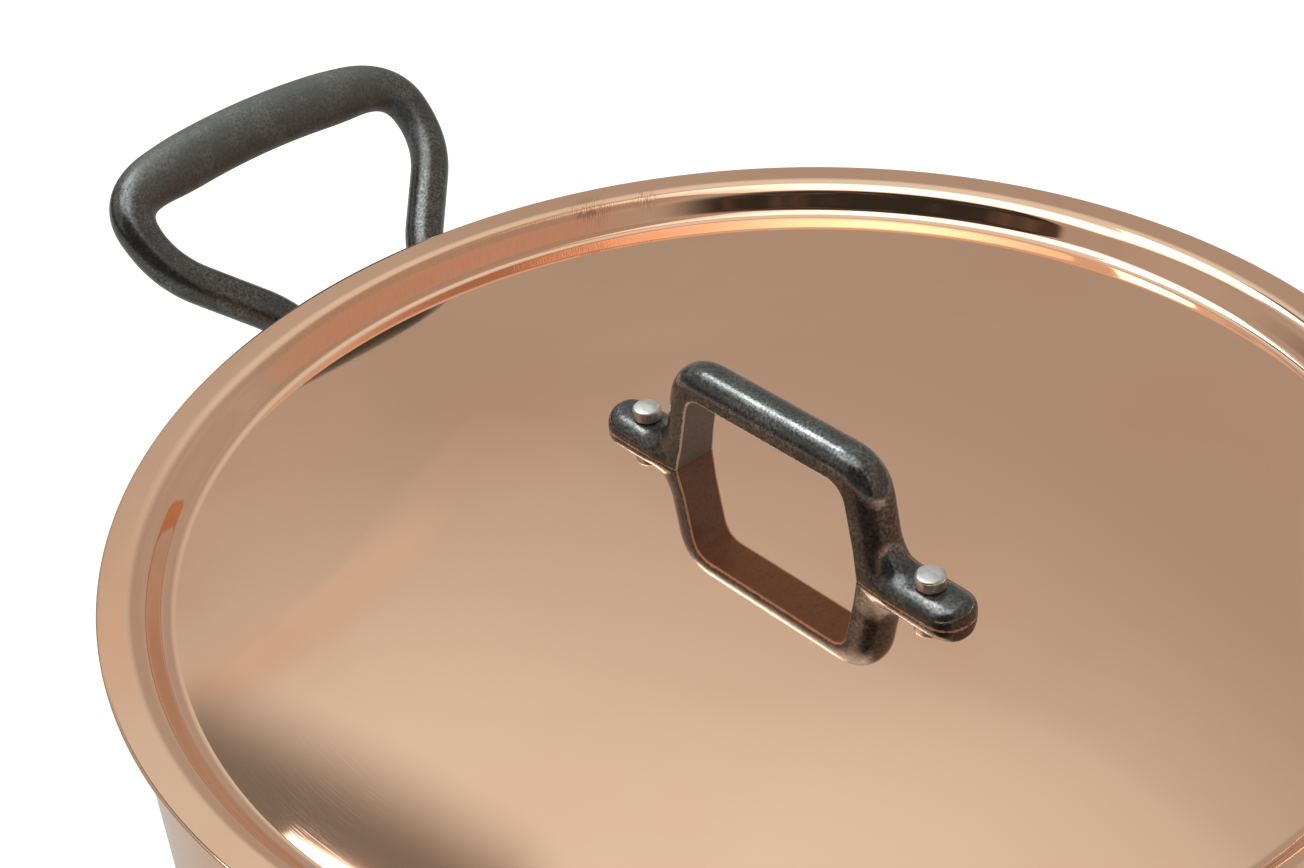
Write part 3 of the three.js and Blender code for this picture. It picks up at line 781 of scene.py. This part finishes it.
mesh = skin_mesh("pan_copper", [turned(pan_layer(0, PAN_COPPER, RIM_BREAK))])
add_piece(mesh, "pan", ["pan_body"], WALL_FINISH)
mesh = skin_mesh("pan_steel", [turned(pan_layer(PAN_COPPER + BOND, PAN_WALL, LINING_BREAK))])
add_piece(mesh, "pan", ["pan_lining"], LINING_FINISH)

# %% [markdown]
# ## Lid
# The lid's sheet lies flat on the pan's edge, bends down, slopes, bends back and becomes a panel
# that is flat in the middle and falls a little towards its edge. The bands of light and dark in
# its rim are reflections in the two bends, so their radii matter most. A mirror shows every
# uneven ring, so the rings crowd together in the bends and beside them.

# %% Lid shell and lining
LID_RADIUS = 146.0
LID_FLANGE = 5.5
LID_CONVEX = 5.6
LID_SLOPE = 59.0
LID_CONCAVE = 3.7
LID_RECESS = 5.0
LID_FALL = 2.2
LID_FLAT = 58.0
LID_EDGE_SLOPE = 2.4
LID_DISH = 2.7
LID_SETTLE = 0.15
LID_COPPER = 0.95
LID_SHEET = 1.2
LID_TURN = math.radians(-2.6)
LID_EDGE_BREAK = 0.35
LID_UNDER_BREAK = 0.12
LID_LINING_BREAK = 0.05
LID_LINING_INSET = 0.25
LID_TOP = LID_HEIGHT / MM - LID_SETTLE
FLAT_ROWS, CROWN_ROWS, CONE_ROWS, BEND_ROWS = 16, 24, 20, 26
SLOPE_ROWS, FLANGE_ROWS, EDGE_ROWS, UNDER_ROWS = 7, 12, 8, 5
CONE_CROWDING = 2.2

slope = math.radians(LID_SLOPE)
lid_bend_start = LID_RADIUS - LID_FLANGE
lid_depth = LID_RECESS + LID_FALL
bends = LID_CONVEX + LID_CONCAVE
lid_wall_run = (lid_depth - bends * (1 - math.cos(slope))) / math.tan(slope)
lid_panel_radius = lid_bend_start - bends * math.sin(slope) - lid_wall_run
lid_edge_slope = math.radians(LID_EDGE_SLOPE)


def lid_skin(depth, reach):
    """From the axis out: flat, crowned panel, concave bend, slope, convex bend, flange to reach."""
    middle = -LID_RECESS - depth
    concave, convex = LID_CONCAVE + depth, LID_CONVEX - depth
    hub = LID_CONCAVE - lid_depth
    edge = lid_panel_radius - concave * math.sin(lid_edge_slope)
    low = hub - concave * math.cos(lid_edge_slope)
    knee = edge - (middle - low) / math.tan(lid_edge_slope)
    ease = min(knee - LID_FLAT, edge - knee)
    flat = straight((0, middle), (knee - ease, middle), FLAT_ROWS)
    crown_end = np.array([knee + ease, middle - ease * math.tan(lid_edge_slope)])
    share = np.linspace(0, 1, CROWN_ROWS)
    crown = parabola((knee - ease, middle), (knee, middle), crown_end, share)
    share = 1 - (1 - np.linspace(0, 1, CONE_ROWS)[:, None]) ** CONE_CROWDING
    cone = crown_end + (np.array([edge, low]) - crown_end) * share
    inner = arc((lid_panel_radius, hub), concave, -90 - LID_EDGE_SLOPE, LID_SLOPE - 90, BEND_ROWS)
    outer = arc((lid_bend_start, -LID_CONVEX), convex, 90 + LID_SLOPE, 90 + LID_DISH, BEND_ROWS)
    wall = straight(inner[-1], outer[0], SLOPE_ROWS)
    rise = (reach - outer[-1, 0]) * math.tan(math.radians(LID_DISH))
    flange = straight(outer[-1], (reach, outer[-1, 1] + rise), FLANGE_ROWS)
    return np.vstack([flat, crown[1:], cone[1:], inner[1:], wall[1:], outer[1:], flange[1:]])


def lid_layer(upper, lower, edge, under_edge, radius):
    """Upper skin out, round the broken edges of the flange, and back along the lower skin."""
    above, below = lid_skin(upper, radius - edge), lid_skin(lower, radius - under_edge)
    over = arc(above[-1] - [0, edge], edge, 90, 0, EDGE_ROWS)
    under = arc(below[-1] + [0, under_edge], under_edge, 0, -90, UNDER_ROWS)
    return np.vstack([above, over[1:], under, below[-2::-1]]) + [0, LID_TOP]


profile = lid_layer(0, LID_COPPER, LID_EDGE_BREAK, LID_UNDER_BREAK, LID_RADIUS)
mesh = skin_mesh("lid_copper", [turned(profile)])
add_piece(mesh, "lid", ["lid_shell"], LID_FINISH)
edges = LID_LINING_BREAK, LID_LINING_BREAK, LID_RADIUS - LID_LINING_INSET
mesh = skin_mesh("lid_steel", [turned(lid_layer(LID_COPPER + BOND, LID_SHEET, *edges))])
add_piece(mesh, "lid", ["lid_lining"], LINING_FINISH)

# %% [markdown]
# ## Rivets
# Each handle is held by steel rivets: a low head on the inside, a shank through the metal, and a
# button outside with a rounded edge and a slight crown. A rivet is a turned profile, made once at
# its own origin and carried to its place by a matrix.

# %% A rivet's profile
RIVET_ROUND = 48
RIVET_ROWS = 14
SEAT_ROWS, SIDE_ROWS = 3, 4
BUTTON_EDGE = 0.7
BUTTON_CROWN = 0.3
BROW_RISE = 0.1
CROWN_FULLNESS = 0.45
BASE_BREAK = 0.6
HEAD_EDGE = 0.5
HEAD_FULLNESS = 0.8


def rivet_grid(grip, shank, button, button_height, head, head_height, sink):
    """A low head under -grip, a shank, and over -sink a button with a parabola for edge and top."""
    low, brow = -grip - head_height, button_height - BUTTON_CROWN
    share = np.linspace(0, 1, RIVET_ROWS)
    dome = parabola((0, low), (head * HEAD_FULLNESS, low), (head, -grip - HEAD_EDGE), share)
    seat = straight((head, -grip), (shank, -grip), SEAT_ROWS)
    base = button - BASE_BREAK
    neck = np.vstack([straight((shank, -sink), (base, -sink), SEAT_ROWS), [(base, 0)]])
    side = straight((button, BASE_BREAK), (button, brow - BUTTON_EDGE), SIDE_ROWS)
    edge = parabola(side[-1], (button, brow), (button - BUTTON_EDGE, brow + BROW_RISE), share)
    crown = (button * CROWN_FULLNESS, button_height)
    top = parabola(edge[-1], crown, (0, button_height), share)
    return turned(np.vstack([dome, seat, neck, side, edge[1:], top[1:]]), RIVET_ROUND)


def carried(grid, matrix):
    """Every point of a grid times a 4x4 matrix."""
    matrix = np.asarray(matrix)
    return grid @ matrix[:3, :3].T + matrix[:3, 3]


# %% [markdown]
# ## Loop handles
# Each loop is one casting: a thick grip, two legs that bend towards the wall, and an ear at the
# foot of each leg with two rivets. The loop is an ellipse carried along a bent line in a plane
# tilted up from the wall. It thickens into the grip and flares where it meets its ear. The line's
# bends are parabolas, and its points are spread evenly by length, so the rings don't bunch up.

# %% Centre line of a loop
LOOP_TILT = math.radians(42)
LOOP_ROOT = 78.0
LOOP_WIDTH = 87.0
ROOT_SPACING = 42.0
ANKLE = 9.6
LOOP_KNEE = 36.0
LOOP_SHOULDER = 57.2
LOOP_CROWN = 61.6
LOOP_BENDS = [9.0, 10.0, 14.0, 28.0, 14.0, 10.0, 9.0]
EAR_THICK = 5.0
LOOP_RINGS = 220
BEND_POINTS = 40


def bent_line(corners, reaches, count):
    """Straight runs joined by parabolas that start at a reach from each corner, evenly respaced."""
    runs = np.diff(corners, axis=0)
    length = np.linalg.norm(runs, axis=1)
    unit = runs / length[:, None]
    before = np.minimum(reaches, length[:-1] / 2)[:, None]
    after = np.minimum(reaches, length[1:] / 2)[:, None]
    enter, leave = corners[1:-1] - unit[:-1] * before, corners[1:-1] + unit[1:] * after
    share = np.linspace(0, 1, BEND_POINTS)
    curves = [parabola(a, b, c, share) for a, b, c in zip(enter, corners[1:-1], leave)]
    points = np.vstack([corners[:1], *curves, corners[-1:]])
    way = np.concatenate([[0], np.cumsum(np.linalg.norm(np.diff(points, axis=0), axis=1))])
    even = np.linspace(0, way[-1], count)
    return np.stack([np.interp(even, way, points[:, k]) for k in range(3)], -1), even


def loop_line():
    """The loop's centre line from one root to the other, and each point's distance along it."""
    side = np.array([0.5 * ROOT_SPACING] * 2 + [0.5 * LOOP_WIDTH] * 2)
    along = np.array([-EAR_THICK, ANKLE, LOOP_KNEE, LOOP_SHOULDER])
    side = np.concatenate([-side, [0], side[::-1]])
    along = np.concatenate([along, [LOOP_CROWN], along[::-1]])
    rise = LOOP_ROOT + along * math.sin(LOOP_TILT)
    corners = np.stack([PAN_RADIUS + along * math.cos(LOOP_TILT), side, rise], -1)
    return bent_line(corners, np.array(LOOP_BENDS), LOOP_RINGS)


line, way = loop_line()
print("loop length:", round(way[-1], 1), "mm")

# %% Skin of a loop
GRIP_WIDTH = 15.1
GRIP_THICK = 11.5
GRIP_LENGTH = 40.0
GRIP_TAPER = 36.0
LEG_DIAMETER = 10.2
LEG_FLARE = 2.4
FLARE_LENGTH = 9.0
LOOP_SIDES = 56
WALL_GAP = 0.3


def smooth_step(value, low, high):
    """0 below low, 1 above high, and the cubic 3t^2 - 2t^3 between."""
    t = np.clip((value - low) / (high - low), 0, 1)
    return t * t * (3 - 2 * t)


def against_wall(points):
    """Points that would lie inside the pan's wall are pushed straight out until they touch it."""
    reach = np.hypot(points[..., 0], points[..., 1])
    push = np.maximum(reach, PAN_RADIUS + WALL_GAP) / reach
    return points * np.stack([push, push, np.ones_like(push)], -1)


def capped(rings):
    """Rings with a first and a last row added that sit on the middle of the end rings."""
    ends = [np.broadcast_to(r.mean(0), r.shape)[None] for r in (rings[0], rings[-1])]
    return np.concatenate([ends[0], rings, ends[1]])


def loop_grid():
    """An ellipse across the line, along face x tangent and face, thickest near the crown."""
    tangent = np.gradient(line, axis=0)
    face = np.array([-math.sin(LOOP_TILT), 0, math.cos(LOOP_TILT)])
    beside = np.cross(face, tangent)
    beside /= np.linalg.norm(beside, axis=1, keepdims=True)
    from_crown = np.abs(way - way[-1] / 2)
    slim = smooth_step(from_crown, GRIP_LENGTH / 2, GRIP_LENGTH / 2 + GRIP_TAPER)
    root = way[-1] / 2 - EAR_THICK
    flare = LEG_FLARE * smooth_step(from_crown, root - FLARE_LENGTH, root) ** 2
    wide = (GRIP_WIDTH * (1 - slim) + LEG_DIAMETER * slim) / 2 + flare
    thick = (GRIP_THICK * (1 - slim) + LEG_DIAMETER * slim) / 2 + flare
    angle = np.linspace(0, 2 * np.pi, LOOP_SIDES, endpoint=False)[None, :, None]
    sideways = beside[:, None] * wide[:, None, None] * np.cos(angle)
    facing = face * thick[:, None, None] * np.sin(angle)
    return against_wall(capped(line[:, None] + (sideways + facing)))


# %% [markdown]
# An ear is a rounded triangle: a lobe behind the leg and one round each rivet. Its outline is
# three arcs, and drawing the arcs in by some distance draws the outline in by that distance,
# which is all that its rounded edge needs. Its back lies on the wall.

# %% Skin of an ear
EAR_ROUND = 1.6
EAR_TOP = 8.0
EAR_LOBE = 7.5
EAR_SPACING = 16.0
EAR_DROP = 13.5
EAR_BACK = 4.5
EAR_FACE_INSETS = [4.0, 6.5]
EAR_ARC_POINTS = 24
EAR_EDGE_ROWS = 8
EAR_FACE = PAN_RADIUS + WALL_GAP + EAR_THICK
EAR_AZIMUTH = math.asin(ROOT_SPACING / 2 / PAN_RADIUS)


def ear_matrix(leg):
    """Frame of an ear: X round the wall, Y up and Z out of the wall, at the height of the root."""
    s, c = math.sin(leg * EAR_AZIMUTH), math.cos(leg * EAR_AZIMUTH)
    return np.array([(-s, 0, c, 0), (c, 0, s, 0), (0, 1, 0, LOOP_ROOT), (0, 0, 0, 1)])


def ear_outline(inset):
    """Three arcs round the lobes, with their radii less the inset."""
    out = EAR_SPACING / 2
    lean = math.atan2(EAR_DROP, -out)
    spread = math.acos((EAR_LOBE - EAR_TOP) / math.hypot(out, EAR_DROP))
    tangent = math.degrees(lean - spread)
    top = (0, 0), EAR_TOP - inset, tangent, 180 - tangent
    left = (-out, -EAR_DROP), EAR_LOBE - inset, 180 - tangent, 270
    right = (out, -EAR_DROP), EAR_LOBE - inset, 270, 360 + tangent
    return np.vstack([arc(*lobe, EAR_ARC_POINTS) for lobe in (top, left, right)])


def ear_grid(leg):
    """Rings from the back, up the side, round the edge by a quarter circle, and over the face."""
    angle = np.radians(np.linspace(0, 90, EAR_EDGE_ROWS))
    face = [EAR_ROUND] * len(EAR_FACE_INSETS)
    insets = np.concatenate([[0], EAR_ROUND * (1 - np.cos(angle)), EAR_FACE_INSETS])
    heights = EAR_FACE - EAR_ROUND + np.concatenate([[-EAR_BACK], EAR_ROUND * np.sin(angle), face])
    outlines = np.stack([ear_outline(inset) for inset in insets])
    heights = np.broadcast_to(heights[:, None, None], outlines.shape[:2] + (1,))
    rings = np.concatenate([outlines, heights], -1)
    return against_wall(carried(capped(rings), ear_matrix(leg)))


# %% [markdown]
# The loop and its ears overlap. A voxel remesh melts them into one skin, and a little smoothing
# rounds the inner corners, since sand can't hold them sharp. The left handle is the right one
# turned round.

# %% Side handles
VOXEL = 0.00045
SMOOTH_TIMES = 10


def melted(name, grids):
    """The union of overlapping skins as one mesh, remade on a voxel grid and smoothed."""
    rough = bpy.data.objects.new(name, skin_mesh(name, grids))
    scene.collection.objects.link(rough)
    remesh = rough.modifiers.new("melt", "REMESH")
    remesh.mode = "VOXEL"
    remesh.voxel_size = VOXEL
    smooth = rough.modifiers.new("smooth", "SMOOTH")
    smooth.iterations = SMOOTH_TIMES
    graph = bpy.context.evaluated_depsgraph_get()
    mesh = bpy.data.meshes.new_from_object(rough.evaluated_get(graph))
    old = rough.data
    bpy.data.objects.remove(rough)
    bpy.data.meshes.remove(old)
    mesh.name = name
    mesh.shade_smooth()
    return mesh


SIDES = {"right": 0.0, "left": math.pi}
casting = melted("side_handle_casting", [loop_grid(), ear_grid(-1), ear_grid(1)])
for side, angle in SIDES.items():
    mesh = casting.copy()
    mesh.name = "iron_loop_" + side
    mesh.transform(Matrix.Rotation(angle, 4, "Z"))
    add_piece(mesh, "pan", ["side_handle_" + side], IRON_FINISH)

# %% Side rivets
SIDE_RIVET = dict(shank=2.75, button=4.1, button_height=3.6, head=6.0, head_height=2.0, sink=0.4)
PAN_INSIDE = PAN_RADIUS - PAN_WALL

reach = EAR_SPACING / 2 + SIDE_RIVET["head"]
side_grip = EAR_FACE - math.sqrt(PAN_INSIDE**2 - reach**2)
side_rivet = rivet_grid(side_grip, **SIDE_RIVET)
for side, angle in SIDES.items():
    places = [(leg, lobe) for leg in (-1, 1) for lobe in (-1, 1)]
    for count, (leg, lobe) in enumerate(places, 1):
        shift = np.array([lobe * EAR_SPACING / 2, -EAR_DROP, EAR_FACE])
        matrix = np.asarray(Matrix.Rotation(angle, 4, "Z")) @ ear_matrix(leg)
        name = f"steel_rivet_{side}_{count}"
        mesh = skin_mesh(name, [carried(side_rivet + shift, matrix)])
        add_piece(mesh, "pan", [f"side_rivet_{side}_{count}"], RIVET_FINISH)

# %% [markdown]
# ## Lid handle
# The lid handle is flat on its inner faces and round outside. It runs from an oval foot up a leg,
# round a shoulder and along the bar. Each station on the way has a point on the inner face, a
# point on the outer face and a half width, and a D-shaped section stands on them. The corner
# between the flat and the round side is broken by half a millimetre, and hands have rubbed it to
# bare metal, which is painted pale as a highlight line.

# %% Stations of the lid handle
BAIL_TIP = 53.8
BASE_INSIDE = 27.8
TOP_INSIDE = 23.2
BAIL_CLEAR = 21.8
TIP_SQUARE = 2.2
BAIL_BAR = 6.5
BAIL_LEG = 6.7
BAIL_FOOT = 4.4
FOOT_HALF = 6.3
BAR_HALF = 5.35
FOOT_ROUND = 2.4
HEEL_BEND = 7.0
INNER_BEND = 4.5
OUTER_BEND = 10.0
TIP_ROWS, FOOT_ROWS, HEEL_ROWS, LEG_ROWS, BAR_ROWS = 26, 12, 41, 16, 12


def reach_from(corner, other, distance):
    """The point at a distance from a corner towards another point."""
    run = np.subtract(other, corner)
    return np.asarray(corner) + run * (distance / np.linalg.norm(run))


def rounded_corner(before, corner, after, reach, share):
    """A parabola that cuts a corner, starting and ending at a reach from it."""
    first, last = (reach_from(corner, other, reach) for other in (before, after))
    return parabola(first, corner, last, share)


def sharp_corner(before, corner, after, reach, share):
    """The two straight runs on either side of a corner, a reach long each."""
    first, last = (reach_from(corner, other, reach) for other in (before, after))
    t = share[:, None] * 2
    return np.where(t < 1, first + (corner - first) * t, corner + (last - corner) * (t - 1))


def bail_corners(foot, leg, bar):
    """Corners of one face as (out, up): foot's tip, heel, shoulder and middle of the bar."""
    base, shoulder, top = BASE_INSIDE + leg, TOP_INSIDE + leg, BAIL_CLEAR + bar
    return np.array([(BAIL_TIP, foot), (base, foot), (shoulder, top), (0, top)])


def joined(tip, heel, crown, end):
    """Tip, heel and crown, with straight runs between them and on to the end."""
    foot = straight(tip[-1], heel[0], FOOT_ROWS)[1:-1]
    leg = straight(heel[-1], crown[0], LEG_ROWS)[1:-1]
    return [tip, foot, heel, leg, crown, straight(crown[-1], end, BAR_ROWS)[1:]]


def bail_stations():
    """Inner points, outer points and half widths from a foot's tip to the middle of the bar."""
    inner = bail_corners(0, 0, 0)
    outer = bail_corners(BAIL_FOOT, BAIL_LEG, BAIL_BAR)
    angle = np.radians(90 - 90 * np.linspace(0, 1, TIP_ROWS)[1:])
    u = BAIL_TIP - FOOT_HALF + FOOT_HALF * np.sin(angle) ** (2 / TIP_SQUARE)
    fall = np.maximum(0, FOOT_ROUND - (BAIL_TIP - u)) / FOOT_ROUND
    height = BAIL_FOOT - FOOT_ROUND * (1 - np.sqrt(1 - fall**2))
    tip_in, tip_out = np.stack([u, 0 * u], -1), np.stack([u, height], -1)
    share = np.linspace(0, 1, HEEL_ROWS)
    heel_in = sharp_corner(*inner[:3], HEEL_BEND, share)
    heel_out = rounded_corner(*outer[:3], HEEL_BEND, share)
    crown_in = rounded_corner(*inner[1:], INNER_BEND, share)
    crown_out = rounded_corner(*outer[1:], OUTER_BEND, share)
    runs_in = joined(tip_in, heel_in, crown_in, inner[-1])
    runs_out = joined(tip_out, heel_out, crown_out, outer[-1])
    foot = np.full(len(runs_in[1]), FOOT_HALF)
    narrowing = FOOT_HALF + (BAR_HALF - FOOT_HALF) * share
    rest = np.full(sum(len(r) for r in runs_in[3:]), BAR_HALF)
    tip = FOOT_HALF * np.cos(angle) ** (2 / TIP_SQUARE)
    halves = np.concatenate([tip, foot, narrowing, rest])
    return np.vstack(runs_in), np.vstack(runs_out), halves


bail_in, bail_out, bail_half = bail_stations()
print("lid handle stations:", len(bail_half))

# %% Skin of the lid handle
BAR_ROUNDNESS = 2.3
FOOT_ROUNDNESS = 2.5
FOOT_BLEND = (BASE_INSIDE + 1, BASE_INSIDE + 12)
EDGE_BREAK = 0.55
FOOT_BREAK = 0.22
BREAK_ACROSS, BREAK_RISE = 0.4, 0.3
CORNER_MARK = 2.0
INNER_MARK = -2.0
RAW_SPAN = (-0.9, -0.3)
FOOT_GAP = 0.03
ROUND_POINTS = 40
BREAK_POINTS = 7
FLAT_POINTS = 12


def bail_ring():
    """A D as (across, rise): a superellipse over the top, two quarter rounds and a flat back."""
    depth = np.linalg.norm(bail_out - bail_in, axis=1)[:, None]
    half = bail_half[:, None]
    foot = smooth_step(np.abs(bail_in[:, :1]), *FOOT_BLEND)
    power = 2 / (BAR_ROUNDNESS + (FOOT_ROUNDNESS - BAR_ROUNDNESS) * foot)
    most = np.minimum(half * BREAK_ACROSS, depth * BREAK_RISE)
    edge = np.minimum(EDGE_BREAK + (FOOT_BREAK - EDGE_BREAK) * foot, most)
    angle = np.linspace(0, np.pi, ROUND_POINTS)[None]
    across = half * np.sign(np.cos(angle)) * np.abs(np.cos(angle)) ** power
    rise = edge + (depth - edge) * np.abs(np.sin(angle)) ** power
    turn = np.radians(np.linspace(0, 90, BREAK_POINTS))[None, 1:]
    near_across, near_rise = half - edge + edge * np.cos(turn), edge - edge * np.sin(turn)
    flat = (half - edge) * np.linspace(-1, 1, FLAT_POINTS)[None, 1:-1]
    across = np.hstack([across, -near_across, flat, near_across[:, ::-1]])
    rise = np.hstack([rise, near_rise, 0 * flat, near_rise[:, ::-1]])
    # Mark of the bare edge and its painted highlight line: highest at the corners, falling by 1 a
    # millimetre.
    wear_and_highlight = CORNER_MARK - rise
    wear_and_highlight[:, -near_rise.shape[1] - flat.shape[1] : -near_rise.shape[1]] = INNER_MARK
    raw = smooth_step(-rise, *(edge * share for share in RAW_SPAN))
    return across, rise / depth, wear_and_highlight, raw


def bail_grid():
    """Both halves of the handle: inner point plus the rise to the outer point, and the width."""
    across, rise, wear_and_highlight, raw = bail_ring()
    side = bail_in[:, None] + rise[..., None] * (bail_out - bail_in)[:, None]
    right = np.stack([side[..., 0], across, side[..., 1]], -1)
    left = right * [-1, 1, 1]
    rings = np.concatenate([right, left[-2::-1]])
    marks = {"wear_and_highlight": wear_and_highlight, "raw": raw}
    marks = {k: np.concatenate([m[:1], m, m[-2::-1], m[:1]]) for k, m in marks.items()}
    return capped(rings), marks


BAIL_SEAT = LID_TOP - LID_RECESS + FOOT_GAP
bail_turn = np.asarray(Matrix.Rotation(LID_TURN, 4, "Z"))
grid, bail_marks = bail_grid()
bail = skin_mesh("iron_lid_handle", [carried(grid + [0, 0, BAIL_SEAT], bail_turn)], bail_marks)
add_piece(bail, "lid", ["lid_handle"], IRON_FINISH)

# %% Lid rivets
LID_RIVET = dict(shank=2.2, button=3.3, button_height=3.5, head=5.0, head_height=1.6, sink=0.5)
LID_RIVET_PLACE = 43.3
SPOT_DEPTH = 0.25

lid_grip = FOOT_GAP + BAIL_FOOT - SPOT_DEPTH + LID_SHEET
lid_rivet = rivet_grid(lid_grip, **LID_RIVET)
for count, end in enumerate((-1, 1), 1):
    shift = np.array([end * LID_RIVET_PLACE, 0, BAIL_SEAT + BAIL_FOOT - SPOT_DEPTH])
    mesh = skin_mesh(f"steel_lid_rivet_{count}", [carried(lid_rivet + shift, bail_turn)])
    add_piece(mesh, "lid", [f"lid_rivet_{count}"], RIVET_FINISH)
